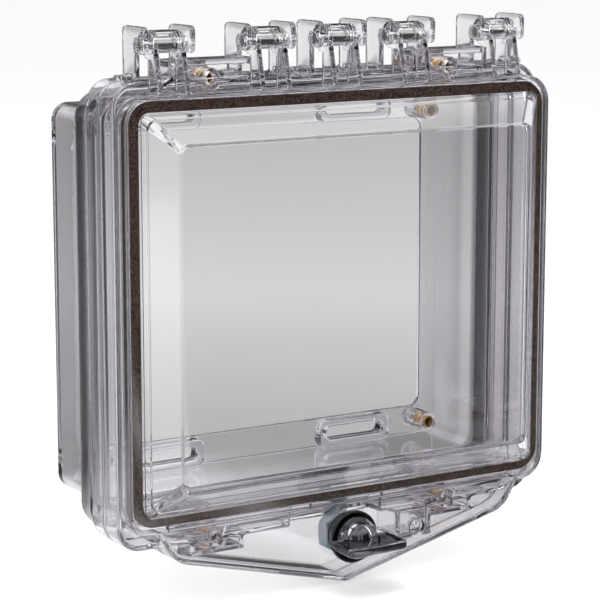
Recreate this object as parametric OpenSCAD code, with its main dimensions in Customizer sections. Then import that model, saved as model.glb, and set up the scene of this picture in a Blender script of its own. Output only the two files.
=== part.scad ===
// Clear wall-mounted lock box for a thermostat.
// Frame: +Z up, the front faces -Y, the wall plane is Y = 0.
// The origin is the centre of the four wall slots, on the wall plane.

/* [Back box] */
// Width of the back box, outside
box_w = 240; // [225:1:260]
// Height of the back box, outside
box_h = 204; // [190:1:230]
// Depth of the back box behind its flange
box_depth = 40; // [30:1:70]
// Outer corner radius of the back box
box_r = 9; // [6:0.5:14]
// Wall of the back box
box_wall = 3; // [2:0.1:4]
// Thickness of the rear lip that lies on the wall
lip_t = 3; // [2:0.1:5]
// Width of the rear lip at the sides
lip_side = 13; // [10:0.5:16]
// Width of the rear lip at top and bottom
lip_end = 19.2; // [18:0.1:26]

/* [Box flange] */
// How far the flange stands out beyond the back box at the sides
flange_out = 7.5; // [5:0.1:12]
// How far the flange stands out beyond the back box at top and bottom
flange_out_z = 9.8; // [7:0.1:14]
// Depth of the flange skirt
flange_depth = 14; // [10:0.5:20]
// Outer corner radius of the flange
flange_r = 14; // [10:0.5:18]

/* [Wall slots] */
// Distance of each slot's middle from the centre line
slot_x = 60; // [50:1:66]
// Length of a wall slot, end to end
slot_len = 38; // [20:1:40]
// Width of a wall slot
slot_w = 7; // [5:0.5:8]
// Wall round a slot
slot_rim = 4; // [3:0.25:5]
// How far the slot's rim stands in front of the lip
slot_rise = 6; // [3:0.5:8]

/* [Device bosses] */
// Distance of each boss from the centre line
boss_x = 101; // [95:0.5:103]
// Radius of a device boss
boss_r = 5.3; // [5.2:0.1:6]
// Length of a device boss in front of the lip
boss_len = 19; // [16:0.5:24]

/* [Brass inserts] */
// Outer radius of a brass insert
insert_r = 3.6; // [3.2:0.1:4]
// Radius of the tapped bore in an insert
insert_bore_r = 2.1; // [2:0.05:2.5]
// Length of a brass insert
insert_len = 9; // [7:0.5:11]

/* [Spacer ring and hinge frame] */
// How far the frame's sides lie inside the flange's sides
frame_inset = 0.5; // [0:0.1:1.5]
// How far the frame stands out beyond the flange at top and bottom
frame_over = 5.45; // [4:0.05:7]
// Height of their middle above the middle of the back box
frame_up = 1; // [0:0.1:3]
// Depth of the spacer ring
spacer_depth = 14; // [10:0.5:25]
// Depth of the hinge frame
frame_depth = 15.7; // [14:0.1:24]
// Outer corner radius of the frame
frame_r = 13; // [10:0.5:16]
// Wall and plate thickness of the frame, the spacer and the door skirt
skin = 2.6; // [2:0.1:3]
// Thickness of the frame's front plate
frame_plate = 3; // [2.5:0.1:4]

/* [Seal opening] */
// Width of the frame beside the opening
open_side = 9; // [8.7:0.1:14]
// Height of the frame above the opening
open_top = 14.55; // [13.75:0.05:19]
// Height of the frame below the opening
open_bottom = 19.95; // [18:0.05:24]
// Width of the gasket strip
gasket_w = 5.5; // [4.5:0.1:6]
// Thickness of the gasket strip
gasket_t = 4; // [3:0.1:5]
// Outer corner radius of the gasket
gasket_r = 12; // [9:0.5:14]
// Wall of the rim that presses into the gasket
rim_t = 3; // [2:0.1:4]

/* [Door] */
// How far the door's sides lie inside the frame's sides
door_inset = 0.5; // [0:0.1:0.8]
// How far the door's top edge lies below the frame's top edge
door_inset_top = 5.55; // [4:0.05:6.35]
// How far the door's bottom edge lies above the frame's bottom edge, beside the chin
door_inset_bottom = 8.95; // [6:0.05:10]
// Depth of the door's skirt
door_depth = 12; // [10:0.5:16]
// Outer corner radius of the door
door_r = 14; // [11:0.5:18]
// Thickness of the door plate and the window
door_plate = 3; // [2.5:0.1:4]
// How far the window stands in front of the door plate
window_rise = 14.5; // [8:0.5:25]
// Width of the sloping band round the window
window_slope_w = 14; // [10:0.5:25]
// Corner radius of the window
window_r = 4; // [2:0.5:8]

/* [Chin] */
// Depth of the chin's point below the lock's axis
chin_point = 26; // [22:0.5:31]
// How far the chin's shoulders lie inside the frame's sides
chin_inset = 25.5; // [23:0.5:29]
// Rise of the chin's shoulders above its point
chin_rise = 25.6; // [22:0.1:28]
// Radius of the chin's shoulders
shoulder_r = 18; // [12:1:20]
// Radius of the chin's point
tip_r = 8; // [4:0.5:14]

/* [Hinges] */
// Distance of the inner hinges from the centre line
hinge_near = 42; // [38:0.5:44]
// How far the outer hinges' middles lie inside the frame's sides
hinge_inset = 28; // [21:0.5:30]
// Width of one hinge over its two ears
hinge_w = 28.5; // [26:0.5:32]
// Thickness of an ear and of a door arm
ear_t = 3; // [2.5:0.1:4]
// Height of the pin's axis above the frame's top edge
pin_rise = 17.45; // [16:0.05:24]
// Radius of a hinge pin
pin_r = 2.4; // [2:0.1:3]
// Radial clearance of a pin in the door's barrel
pin_play = 0.05; // [0.02:0.01:0.1]
// Radius of the counterbore in an ear
ear_cb_r = 3.6; // [3.2:0.1:4]
// Depth of the counterbore in an ear
ear_cb_d = 1.2; // [0.5:0.1:2]
// Outer radius of the door's hinge barrel
barrel_r = 4.2; // [3.8:0.1:4.6]
// Outer radius of the round end of a door arm
eye_r = 7; // [6:0.1:7.2]
// Middle of each door arm from the hinge's middle
arm_x = 7.5; // [6:0.1:8]

/* [Lock] */
// Radius of the lock's threaded body
lock_r = 9.5; // [8:0.1:10]
// Width of the lock nut over its flats
nut_af = 22.5; // [22:0.1:23]
// Front radius of the collar
collar_r = 13.8; // [12:0.1:16]
// Depth of the collar
collar_t = 7.3; // [5:0.1:10]
// Length of the knob's wing from end to end
wing_len = 36; // [28:0.5:42]
// How far the wing reaches in front of the door plate
wing_reach = 32; // [28:0.5:40]
// Thickness of the wing
wing_t = 3.6; // [3:0.1:5]
// Reach of the cam from the lock's axis to its tip
cam_reach = 18.5; // [17:0.1:20]
// Width of the cam
cam_w = 14; // [12:0.5:15]
// Thickness of the cam
cam_t = 2.4; // [2:0.1:2.8]
// Radius of the spindle
spindle_r = 4; // [3.5:0.1:4.5]

/* [Hidden] */
$fn = 48;

// Overrun of a cut past the face that it opens
over = 1;
// Circles that are only joined by hull(), and long shallow arcs
hull_fn = 32;
arc_fn = 200;

// Places along the depth, from the wall to the front
door_gap = 0.3;
seal_gap = 0.3;
y_lip = -lip_t;
y_flange_back = -box_depth;
y_flange = y_flange_back - flange_depth;
y_spacer = y_flange - spacer_depth;
y_frame = y_spacer - frame_depth;
y_door_back = y_frame - door_gap;
y_door = y_door_back - door_depth;
y_plate_back = y_door + door_plate;
y_rim = y_plate_back + gasket_t + seal_gap;
y_window = y_door - window_rise;

// Back box and its flange, seen from the front
flange_w = box_w + 2 * flange_out;
flange_h = box_h + 2 * flange_out_z;
hole_w = box_w - 2 * lip_side;
hole_h = box_h - 2 * lip_end;
hole_r = 6;

// Frame and spacer ring, seen from the front
frame_w = flange_w - 2 * frame_inset;
frame_h = flange_h + 2 * frame_over;
frame_top = frame_up + frame_h / 2;
frame_bottom = frame_up - frame_h / 2;

// Opening inside the gasket, and the rim that presses into the gasket's middle
open_w = frame_w - 2 * open_side;
open_h = frame_h - open_top - open_bottom;
open_up = frame_up + (open_bottom - open_top) / 2;
rim_inset = (gasket_w - rim_t) / 2;
rim_w = open_w + 2 * (rim_inset + rim_t);
rim_h = open_h + 2 * (rim_inset + rim_t);
rim_r = gasket_r - rim_inset;
rim_bottom = open_up - rim_h / 2;

// Door, seen from the front
door_w = frame_w - 2 * door_inset;
door_h = frame_h - door_inset_top - door_inset_bottom;
door_up = frame_up + (door_inset_bottom - door_inset_top) / 2;
door_top = door_up + door_h / 2;

// Device bosses stand on the top and bottom lips
boss_edge = 0.3;
boss_z = hole_h / 2 + boss_r + boss_edge;
slot_z = hole_h / 2 + (lip_end - box_wall) / 2;
slot_pad_w = slot_len + 2 * slot_rim;
slot_pad_h = slot_w + 2 * slot_rim;
pilot_play = 0.2;
knurl_groove_w = 1.5;
knurl_groove_d = 0.45;

// Hinges
hinge_far = frame_w / 2 - hinge_inset;
hinge_places = [-hinge_far, -hinge_near, 0, hinge_near, hinge_far];
pin_z = frame_top + pin_rise;
y_pin = y_door_back;
ear_front = 7;
ear_top = 9;
ear_under = 4.3;
ear_leg_front = 2.4;
ear_corner_r = 3;
ear_bore_play = 0.05;
pad_w = 8;
pad_h = 3;
pad_r = 2.8;
pad_front = 4;
pad_back = 14;
arm_back = 0.3;
arm_step = 0.5;
web_t = 2;
web_w = 6;
web_drop = 0.05;

// Frame screws, their inserts, and the lugs that they clamp
fix_shift = 1;
fix_inset_top = 0.25;
fix_inset_bottom = 0.95;
fix_x = (hinge_near + hinge_far) / 2 + fix_shift;
fix_top_z = frame_top - fix_inset_top;
fix_bottom_z = frame_bottom + fix_inset_bottom;
fix_boss_r = 5.4;
fix_boss_front = 1.2;
insert_back = 1;
thread_play = 0.1;
screw_r = insert_bore_r - thread_play;
screw_clear = 0.6;
screw_bore_r = screw_r + screw_clear;
screw_head_r = 3.9;
screw_head_t = 2.6;
screw_slot_w = 1;
screw_slot_d = 1.2;
screw_bite = 6;
washer_r = 4.6;
washer_t = 0.8;
lug_r = 7.5;
lug_t = 7;
lug_foot = 3;

// Blocks round the frame inserts
block_w = 49;
block_rise = 9.5;
block_wall = 3;
low_block_w = 32;
low_block_drop = 7;

// Strike lip on the frame, which the cam turns up behind
cam_gap = 1.95;
cam_lap = 4.65;
cam_play = 0.4;
strike_side = 11;
strike_half = cam_w / 2 + strike_side;
strike_t = 2.7;
strike_drop = cam_gap + cam_lap;
notch_side = 9.5;
notch_half = cam_reach + notch_side;
notch_over = 1.3;

// Lock body, nut and cam
lock_z = rim_bottom - cam_gap - cam_reach;
lock_play = 0.1;
spindle_play = 0.05;
body_flange_over = 0.9;
body_flange_r = lock_r + body_flange_over;
body_flange_t = 0.8;
body_end_gap = 0.2;
lock_washer_t = 0.8;
nut_gap = 0.5;
y_nut = y_plate_back + lock_washer_t;
y_cam = y_frame + cam_play;
square_share = 1.4;
cam_square = square_share * spindle_r;
cam_square_play = 0.05;
hub_r = 9;
cam_washer_r = 6;
cam_washer_t = 1;
cam_screw_r = 2;
cam_head_r = 4;
cam_head_t = 2.8;
cam_screw_len = 9;

// Collar and knob
collar_neck_t = 1;
collar_rim_t = 2.2;
collar_lip = 1.2;
dome_inset = 2.2;
dome_r = collar_r - dome_inset;
dome_reach = 19;
dome_turn = 9;
knob_gap = 0.3;
wing_root = 7;
wing_bow = 1.4;
wing_rim = 1.6;
wing_hollow = 0.8;
wing_corner_r = 2;
wing_pocket_r = 0.5;

// Chin outline: its sides lean outwards above the shoulders
chin_z = lock_z - chin_point;
chin_half = frame_w / 2 - chin_inset;
shoulder_z = chin_z + chin_rise;
shoulder_lean = 30;
chin_climb = 25;
chin_top_half = chin_half + chin_climb * tan(shoulder_lean);
chin_top_r = 1;

// Seal boss in the chin, right of the lock, and the door's wider hole in front of its bore
seal_w = 20.5;
seal_block_gap = 0.95;
seal_x = fix_x - low_block_w / 2 - seal_block_gap - seal_w / 2;
seal_h = 15.2;
seal_wall = 1.6;
seal_top = frame_bottom + seal_wall;
seal_hole_r = 3.8;
seal_hole_drop = 3.3;
seal_hole_z = lock_z - seal_hole_drop;
seal_hole_d = 5;
seal_front_gap = 0.4;
seal_door_play = 0.7;

// Rib on the door under the gasket
rib_inset = 14;
rib_half = open_w / 2 - rib_inset;
rib_gap = 0.5;
rib_t = 2.5;

// Window: the slope of its sides, and the thin slices that they are drawn between
window_slope = window_slope_w / window_rise;
hull_slice = 0.3;

// Colours
clear_pc = [0.86, 0.88, 0.9, 0.35];
brass = [0.8, 0.6, 0.3];
steel = [0.72, 0.73, 0.75];
zinc = [0.62, 0.68, 0.72];
dark_chrome = [0.25, 0.25, 0.27];
black = [0.1, 0.09, 0.09];

// Half angle at corner i of a convex outline
function corner_half(p, i) =
    let (n = len(p), a = p[(i + n - 1) % n] - p[i], b = p[(i + 1) % n] - p[i])
    acos(a * b / (norm(a) * norm(b))) / 2;

// Point inside corner i that lies d from both of its sides
function inside_corner(p, i, d) =
    let (
        n = len(p),
        a = (p[(i + n - 1) % n] - p[i]) / norm(p[(i + n - 1) % n] - p[i]),
        b = (p[(i + 1) % n] - p[i]) / norm(p[(i + 1) % n] - p[i])
    )
    p[i] + (a + b) / norm(a + b) * d / sin(corner_half(p, i));

// Outline moved inwards by d
function inset_outline(p, d) = [for (i = [0 : len(p) - 1]) inside_corner(p, i, d)];

// Tangent points of a corner of radius r, before and after corner i
function tangents(p, i, r) =
    let (
        n = len(p),
        a = (p[(i + n - 1) % n] - p[i]) / norm(p[(i + n - 1) % n] - p[i]),
        b = (p[(i + 1) % n] - p[i]) / norm(p[(i + 1) % n] - p[i]),
        t = r / tan(corner_half(p, i))
    )
    [p[i] + a * t, p[i] + b * t];

// Convex outline with round corners
module soft_outline(p, r) {
    polygon([for (i = [0 : len(p) - 1]) each tangents(p, i, r[i])]);
    for (i = [0 : len(p) - 1]) translate(inside_corner(p, i, r[i])) circle(r[i]);
}

// Rectangle with round corners, its middle at height up
module soft_rect(w, h, r, up = 0) {
    soft_outline([[-w / 2, up - h / 2], [w / 2, up - h / 2], [w / 2, up + h / 2], [-w / 2, up + h / 2]],
        [r, r, r, r]);
}

chin_points = [
    [0, chin_z], [chin_half, shoulder_z], [chin_top_half, shoulder_z + chin_climb],
    [-chin_top_half, shoulder_z + chin_climb], [-chin_half, shoulder_z]
];

// Chin outline, moved inwards by d
module chin_outline(d = 0) {
    soft_outline(inset_outline(chin_points, d),
        [tip_r - d, shoulder_r - d, chin_top_r, chin_top_r, shoulder_r - d]);
}

// Extrudes an outline drawn in X and Z from y0 back to y1
module between(y0, y1) {
    translate([0, y1, 0]) rotate([90, 0, 0]) linear_extrude(y1 - y0) children();
}

// Round bar along Y from y0 back to y1
module bar_y(y0, y1, r) {
    translate([0, y1, 0]) rotate([90, 0, 0]) cylinder(h = y1 - y0, r = r);
}

// Extrudes an outline drawn in Y and Z from x0 to x1
module across(x0, x1) {
    translate([x0, 0, 0]) rotate([90, 0, 90]) linear_extrude(x1 - x0) children();
}

// Children at the four frame screws
module at_fixings() {
    for (x = [-fix_x, fix_x], z = [fix_bottom_z, fix_top_z]) translate([x, 0, z]) children();
}

// Children at the four device bosses
module at_bosses() {
    for (x = [-boss_x, boss_x], z = [-boss_z, boss_z]) translate([x, 0, z]) children();
}

// Lug round a frame screw, with a foot towards the edge that carries it; side is 1 at the top
module lug(y0, y1, side) {
    bar_y(y0, y1, lug_r);
    between(y0, y1) translate([-lug_r, side > 0 ? -lug_r - lug_foot : 0])
        square([2 * lug_r, lug_r + lug_foot]);
}

module lugs(y0, y1) {
    for (x = [-fix_x, fix_x]) {
        translate([x, 0, fix_top_z]) lug(y0, y1, 1);
        translate([x, 0, fix_bottom_z]) lug(y0, y1, -1);
    }
}

// Back box

module back_box_shell() {
    difference() {
        between(y_flange, 0) soft_rect(box_w, box_h, box_r);
        between(y_flange - over, y_lip)
            soft_rect(box_w - 2 * box_wall, box_h - 2 * box_wall, box_r - box_wall);
        between(y_lip - over, over) soft_rect(hole_w, hole_h, hole_r);
    }
}

module box_flange() {
    difference() {
        union() {
            between(y_flange, y_flange_back) soft_rect(flange_w, flange_h, flange_r);
            lugs(y_flange, y_flange + lug_t);
        }
        difference() {
            between(y_flange - over, y_flange_back - skin)
                soft_rect(flange_w - 2 * skin, flange_h - 2 * skin, flange_r - skin);
            lugs(y_flange, y_flange + lug_t);
        }
        between(y_flange - over, over)
            soft_rect(box_w - 2 * box_wall, box_h - 2 * box_wall, box_r - box_wall);
        at_fixings() bar_y(y_flange - over, y_flange_back + over, screw_bore_r);
        at_fixings() bar_y(y_flange + lug_t, y_flange_back + over, washer_r + pilot_play);
    }
}

module slot_shape(w, h) {
    for (s = [-1, 1]) translate([s * (w - h) / 2, 0]) circle(h / 2);
    translate([-(w - h) / 2, -h / 2]) square([w - h, h]);
}

module back_box() color(clear_pc) difference() {
    union() {
        back_box_shell();
        box_flange();
        at_bosses() bar_y(y_lip - boss_len, y_lip, boss_r);
        for (x = [-slot_x, slot_x], z = [-slot_z, slot_z]) translate([x, 0, z])
            between(y_lip - slot_rise, y_lip) soft_rect(slot_pad_w, slot_pad_h, slot_rim);
    }
    at_bosses() bar_y(y_lip - boss_len - over, y_lip - boss_len + insert_len, insert_r);
    at_bosses() bar_y(y_lip - boss_len + insert_len - over, y_lip, insert_bore_r + pilot_play);
    for (x = [-slot_x, slot_x], z = [-slot_z, slot_z]) translate([x, 0, z])
        between(y_lip - slot_rise - over, over) slot_shape(slot_len, slot_w);
}

// Brass insert from y0 back, with a knurl groove and a tapped bore
module insert(y0) {
    y_mid = y0 + insert_len / 2;
    difference() {
        bar_y(y0, y0 + insert_len, insert_r);
        bar_y(y0 - over, y0 + insert_len + over, insert_bore_r);
        difference() {
            bar_y(y_mid - knurl_groove_w / 2, y_mid + knurl_groove_w / 2, insert_r + over);
            bar_y(y0, y0 + insert_len, insert_r - knurl_groove_d);
        }
    }
}

module device_inserts() color(brass) at_bosses() insert(y_lip - boss_len);

// Spacer ring and hinge frame

module rim_wall(y0, y1) {
    difference() {
        between(y0, y1) soft_rect(rim_w, rim_h, rim_r, open_up);
        between(y0 - over, y1 + over)
            soft_rect(rim_w - 2 * rim_t, rim_h - 2 * rim_t, rim_r - rim_t, open_up);
    }
}

module frame_skirt(y0, y1) {
    difference() {
        between(y0, y1) soft_rect(frame_w, frame_h, frame_r, frame_up);
        between(y0 - over, y1 + over)
            soft_rect(frame_w - 2 * skin, frame_h - 2 * skin, frame_r - skin, frame_up);
    }
}

module spacer_ring() color(clear_pc) difference() {
    union() {
        rim_wall(y_spacer, y_flange);
        frame_skirt(y_spacer, y_flange);
        difference() {
            between(y_spacer, y_spacer + skin) soft_rect(frame_w, frame_h, frame_r, frame_up);
            between(y_spacer - over, y_flange)
                soft_rect(rim_w - rim_t, rim_h - rim_t, rim_r - rim_t / 2, open_up);
        }
        lugs(y_spacer, y_flange);
    }
    between(y_spacer - over, y_flange + over)
        soft_rect(rim_w - 2 * rim_t, rim_h - 2 * rim_t, rim_r - rim_t, open_up);
    at_fixings() bar_y(y_spacer - over, y_flange + over, screw_bore_r);
}

// Ear seen from the side: a leg with a flag-shaped head
module ear_shape() {
    translate([y_pin, pin_z]) {
        w = ear_front + y_spacer - y_pin;
        h = ear_under + ear_top;
        translate([-ear_front + w / 2, 0]) soft_rect(w, h, ear_corner_r, (ear_top - ear_under) / 2);
    }
    translate([y_pin + ear_leg_front, frame_top - over])
        square([y_spacer - y_pin - ear_leg_front, pin_z - frame_top + over]);
}

module ear_pair() {
    for (s = [-1, 1]) {
        x = s * (hinge_w - ear_t) / 2;
        across(x - ear_t / 2, x + ear_t / 2) ear_shape();
        translate([x + s * pad_w / 2, 0, 0]) difference() {
            across(-pad_w / 2, pad_w / 2) translate([y_pin + (pad_front + pad_back) / 2, frame_top])
                soft_rect(pad_back - pad_front, 2 * pad_h, pad_r);
            between(y_frame - over, y_spacer + over)
                translate([-pad_w, frame_top - pad_h - over]) square([2 * pad_w, pad_h + over]);
        }
    }
}

module pin_bores() {
    half = hinge_w / 2;
    translate([-half - over, y_pin, pin_z]) rotate([0, 90, 0])
        cylinder(h = hinge_w + 2 * over, r = pin_r + ear_bore_play);
    for (s = [-1, 1]) translate([s * (half - ear_cb_d / 2 + over / 2), y_pin, pin_z]) rotate([0, 90, 0])
        cylinder(h = ear_cb_d + over, r = ear_cb_r, center = true);
}

// Hollow block open to the front, seen from the front by its middle x and its two edges z0 and z1
module fixing_block(x, w, z0, z1) {
    difference() {
        between(y_frame, y_spacer) translate([x - w / 2, z0]) square([w, z1 - z0]);
        between(y_frame - over, y_spacer - skin)
            translate([x - w / 2 + block_wall, z0 + block_wall])
                square([w - 2 * block_wall, z1 - z0 - 2 * block_wall]);
    }
}

module fixing_blocks() {
    for (s = [-1, 1]) {
        fixing_block(s * fix_x, block_w, frame_top - block_wall, frame_top + block_rise);
        fixing_block(s * fix_x, low_block_w, frame_bottom - low_block_drop, frame_bottom + block_wall);
    }
    at_fixings() bar_y(y_frame + fix_boss_front, y_spacer, fix_boss_r);
}

module chin_tray() {
    difference() {
        between(y_frame, y_spacer) chin_outline();
        between(y_frame - over, y_spacer - skin) chin_outline(skin);
        between(y_frame - over, y_spacer + over)
            translate([-frame_w, frame_bottom]) square([2 * frame_w, frame_h]);
    }
}

module strike() {
    between(y_frame - strike_t, y_frame)
        translate([-strike_half, rim_bottom - strike_drop])
            square([2 * strike_half, strike_drop + rim_t / 2]);
}

module hinge_frame() color(clear_pc) difference() {
    union() {
        difference() {
            union() {
                rim_wall(y_rim, y_spacer);
                frame_skirt(y_frame, y_spacer);
                difference() {
                    between(y_frame, y_frame + frame_plate) soft_rect(frame_w, frame_h, frame_r, frame_up);
                    between(y_frame - over, y_spacer)
                        soft_rect(rim_w - rim_t, rim_h - rim_t, rim_r - rim_t / 2, open_up);
                }
            }
            between(y_frame - over, y_spacer + over)
                translate([-notch_half, frame_bottom - over])
                    square([2 * notch_half, rim_bottom - notch_over - frame_bottom + over]);
        }
        chin_tray();
        fixing_blocks();
        strike();
        for (x = hinge_places) translate([x, 0, 0]) ear_pair();
    }
    for (x = hinge_places) translate([x, 0, 0]) pin_bores();
    at_fixings() bar_y(y_frame - over, y_spacer + over, screw_bore_r);
    at_fixings() bar_y(y_spacer - insert_back - insert_len, y_spacer + over, insert_r);
}

// Box with a thick bored front, which stands on the chin tray's back and lies under the frame's skirt
module seal_boss() color(clear_pc) {
    y0 = y_plate_back + seal_front_gap;
    difference() {
        between(y0, y_spacer - skin)
            translate([seal_x - seal_w / 2, seal_top - seal_h]) square([seal_w, seal_h]);
        between(y0 + seal_hole_d, y_spacer)
            translate([seal_x - seal_w / 2 + seal_wall, seal_top - seal_h + seal_wall])
                square([seal_w - 2 * seal_wall, seal_h - 2 * seal_wall]);
        between(y_frame, y_spacer) translate([0, frame_bottom]) square([frame_w, frame_h]);
        translate([seal_x, 0, seal_hole_z]) bar_y(y0 - over, y0 + seal_hole_d, seal_hole_r);
    }
}

module frame_inserts() color(brass) at_fixings() insert(y_spacer - insert_back - insert_len);

module frame_screws() color(steel) at_fixings() {
    y_head = y_flange + lug_t + washer_t;
    bar_y(y_spacer - insert_back - screw_bite, y_head, screw_r);
    difference() {
        bar_y(y_head, y_head + screw_head_t, screw_head_r);
        translate([-screw_head_r - over, y_head + screw_head_t - screw_slot_d, -screw_slot_w / 2])
            cube([2 * (screw_head_r + over), screw_slot_d + over, screw_slot_w]);
    }
}

module screw_washers() color(steel) at_fixings() difference() {
    bar_y(y_flange + lug_t, y_flange + lug_t + washer_t, washer_r);
    bar_y(y_flange, y_flange_back, screw_bore_r - pilot_play);
}

// Hinge pin number i, which ends flush with the counterbores of its ears
module hinge_pin(i) color(steel) {
    pin_len = hinge_w - 2 * ear_cb_d;
    translate([hinge_places[i - 1] - pin_len / 2, y_pin, pin_z]) rotate([0, 90, 0])
        cylinder(h = pin_len, r = pin_r);
}

// Door

// Flat blank of the door, moved inwards by d
module door_outline(d = 0) {
    soft_rect(door_w - 2 * d, door_h - 2 * d, door_r - d, door_up);
    chin_outline(d);
}

// Block with sloping sides from y0, where it measures w by h, forward to y1
module frustum(y0, y1, w, h) {
    shrink = 2 * window_slope * (y0 - y1);
    hull() {
        between(y0 - hull_slice, y0) soft_rect(w, h, window_r, open_up, $fn = hull_fn);
        between(y1, y1 + hull_slice)
            soft_rect(w - shrink, h - shrink, window_r, open_up, $fn = hull_fn);
    }
}

// Hollow inside the window's walls, whose mouth runs back past the door plate by d
module window_hollow(d = 0) {
    side = door_plate * sqrt(1 + window_slope * window_slope);
    spread = 2 * (window_slope * (door_plate + d) - side);
    frustum(y_plate_back + d, y_window + door_plate, open_w + spread, open_h + spread);
}

module door_window() {
    difference() {
        frustum(y_door, y_window, open_w, open_h);
        window_hollow();
    }
}

module door_shell() {
    rib_top = open_up - open_h / 2 - gasket_w - rib_gap;
    difference() {
        between(y_door, y_door_back) door_outline();
        between(y_plate_back, y_door_back + over) door_outline(skin);
        window_hollow(over);
    }
    between(y_plate_back, y_rim - seal_gap)
        translate([-rib_half, rib_top - rib_t]) square([2 * rib_half, rib_t]);
}

// Door arm seen from the side
module arm_shape() {
    foot = door_top - skin - pin_z;
    translate([y_pin, pin_z]) {
        circle(eye_r);
        polygon([[-arm_back, 0], [-arm_back, foot], [-door_depth, foot], [-door_depth, foot + skin],
            [-eye_r - arm_step, -ear_under], [-eye_r, 0]]);
    }
}

module hinge_leaf() {
    for (s = [-1, 1]) across(s * arm_x - ear_t / 2, s * arm_x + ear_t / 2) arm_shape();
    across(-arm_x, arm_x) translate([y_pin, pin_z]) circle(barrel_r);
    across(-arm_x, arm_x) translate([y_pin - web_w / 2, pin_z + eye_r - web_t - web_drop])
        square([web_w, web_t]);
}

module door_cover() color(clear_pc) difference() {
    union() {
        door_shell();
        door_window();
        for (x = hinge_places) translate([x, 0, 0]) hinge_leaf();
    }
    for (x = hinge_places) translate([x - hinge_w / 2, y_pin, pin_z]) rotate([0, 90, 0])
        cylinder(h = hinge_w, r = pin_r + pin_play);
    translate([0, 0, lock_z]) bar_y(y_door - over, y_plate_back + over, lock_r + lock_play);
    translate([seal_x, 0, seal_hole_z])
        bar_y(y_door - over, y_plate_back + over, seal_hole_r + seal_door_play);
}

module door_gasket() color(black) difference() {
    between(y_plate_back, y_plate_back + gasket_t)
        soft_rect(open_w + 2 * gasket_w, open_h + 2 * gasket_w, gasket_r, open_up);
    between(y_plate_back - over, y_rim) soft_rect(open_w, open_h, gasket_r - gasket_w, open_up);
}

// Lock

module at_lock() {
    translate([0, 0, lock_z]) children();
}

// Round body turned about the lock's axis; points are radius and distance in front of the door plate
module turned(points) {
    at_lock() translate([0, y_door, 0]) rotate([90, 0, 0]) rotate_extrude() polygon(points);
}

module lock_collar() color(black) turned([
    [body_flange_r + lock_play, 0], [body_flange_r + collar_neck_t, 0],
    [collar_r, collar_t - collar_rim_t], [collar_r, collar_t],
    [dome_r + knob_gap + collar_lip, collar_t], [dome_r + knob_gap, collar_t - collar_lip],
    [dome_r + knob_gap, body_flange_t + collar_lip], [body_flange_r + lock_play, body_flange_t + collar_lip]
]);

module lock_body() color(zinc) difference() {
    at_lock() union() {
        bar_y(y_door - body_flange_t, y_door, body_flange_r);
        bar_y(y_door - body_flange_t, y_cam - body_end_gap, lock_r);
    }
    at_lock() bar_y(y_door - body_flange_t - over, y_cam + over, spindle_r + spindle_play);
}

module lock_washer() color(zinc) at_lock() difference() {
    bar_y(y_plate_back, y_nut, nut_af / 2);
    bar_y(y_plate_back - over, y_nut + over, lock_r + lock_play);
}

module lock_nut() color(zinc) at_lock() difference() {
    between(y_nut, y_cam - nut_gap) rotate(30) circle(nut_af / 2 / cos(30), $fn = 6);
    bar_y(y_nut - over, y_cam, lock_r + lock_play / 2);
}

// Wing seen from above, from the knob's back forward to its bowed front edge
module wing_shape(d = 0) {
    half = wing_len / 2 - d;
    back = dome_reach - wing_root + d;
    corner = d > 0 ? wing_pocket_r : wing_corner_r;
    front = wing_reach - d;
    bow_r = (half * half + wing_bow * wing_bow) / (2 * wing_bow);
    intersection() {
        soft_outline([[-half, back], [half, back], [half, front], [-half, front]],
            [corner, corner, corner, corner]);
        translate([0, front - bow_r]) circle(bow_r, $fn = arc_fn);
    }
}

module thumb_knob() color(dark_chrome) {
    dome_start = body_flange_t + collar_lip + knob_gap;
    dome_len = dome_reach - dome_start;
    base = collar_t - dome_start;
    turned(concat(
        [[spindle_r + spindle_play, dome_start], [dome_r, dome_start], [dome_r, collar_t]],
        [for (a = [dome_turn : dome_turn : 90]) [dome_r * cos(a), collar_t + (dome_len - base) * sin(a)]],
        [[0, dome_start + base], [spindle_r + spindle_play, dome_start + base]]
    ));
    difference() {
        at_lock() translate([0, y_door, -wing_t / 2]) mirror([0, 1, 0]) linear_extrude(wing_t) wing_shape();
        at_lock() translate([0, y_door, -wing_t / 2 - wing_hollow]) mirror([0, 1, 0])
            linear_extrude(2 * wing_hollow) wing_shape(wing_rim);
        at_lock() translate([0, y_door, wing_t / 2 - wing_hollow]) mirror([0, 1, 0])
            linear_extrude(2 * wing_hollow) wing_shape(wing_rim);
    }
}

module lock_spindle() color(steel) difference() {
    at_lock() union() {
        bar_y(y_door - collar_t, y_cam, spindle_r);
        between(y_cam - over, y_cam + cam_t) square(cam_square, center = true);
    }
    at_lock() bar_y(y_cam + cam_t - cam_screw_len, y_cam + cam_t + over, cam_screw_r + lock_play);
}

module lock_cam() color(steel) at_lock() difference() {
    between(y_cam, y_cam + cam_t) {
        circle(hub_r);
        translate([-cam_w / 2, 0]) square([cam_w, cam_reach - cam_w / 2]);
        translate([0, cam_reach - cam_w / 2]) circle(cam_w / 2);
    }
    between(y_cam - over, y_cam + cam_t + over) square(cam_square + 2 * cam_square_play, center = true);
}

module cam_washer() color(steel) at_lock() difference() {
    bar_y(y_cam + cam_t, y_cam + cam_t + cam_washer_t, cam_washer_r);
    bar_y(y_cam, y_spacer, cam_screw_r + lock_play);
}

module cam_screw() color(steel) at_lock() difference() {
    y_head = y_cam + cam_t + cam_washer_t;
    union() {
        bar_y(y_head - cam_screw_len + cam_washer_t, y_head, cam_screw_r);
        bar_y(y_head, y_head + cam_head_t, cam_head_r);
    }
    translate([-cam_head_r - over, y_head + cam_head_t - screw_slot_d, -screw_slot_w / 2])
        cube([2 * (cam_head_r + over), screw_slot_d + over, screw_slot_w]);
}

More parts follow.
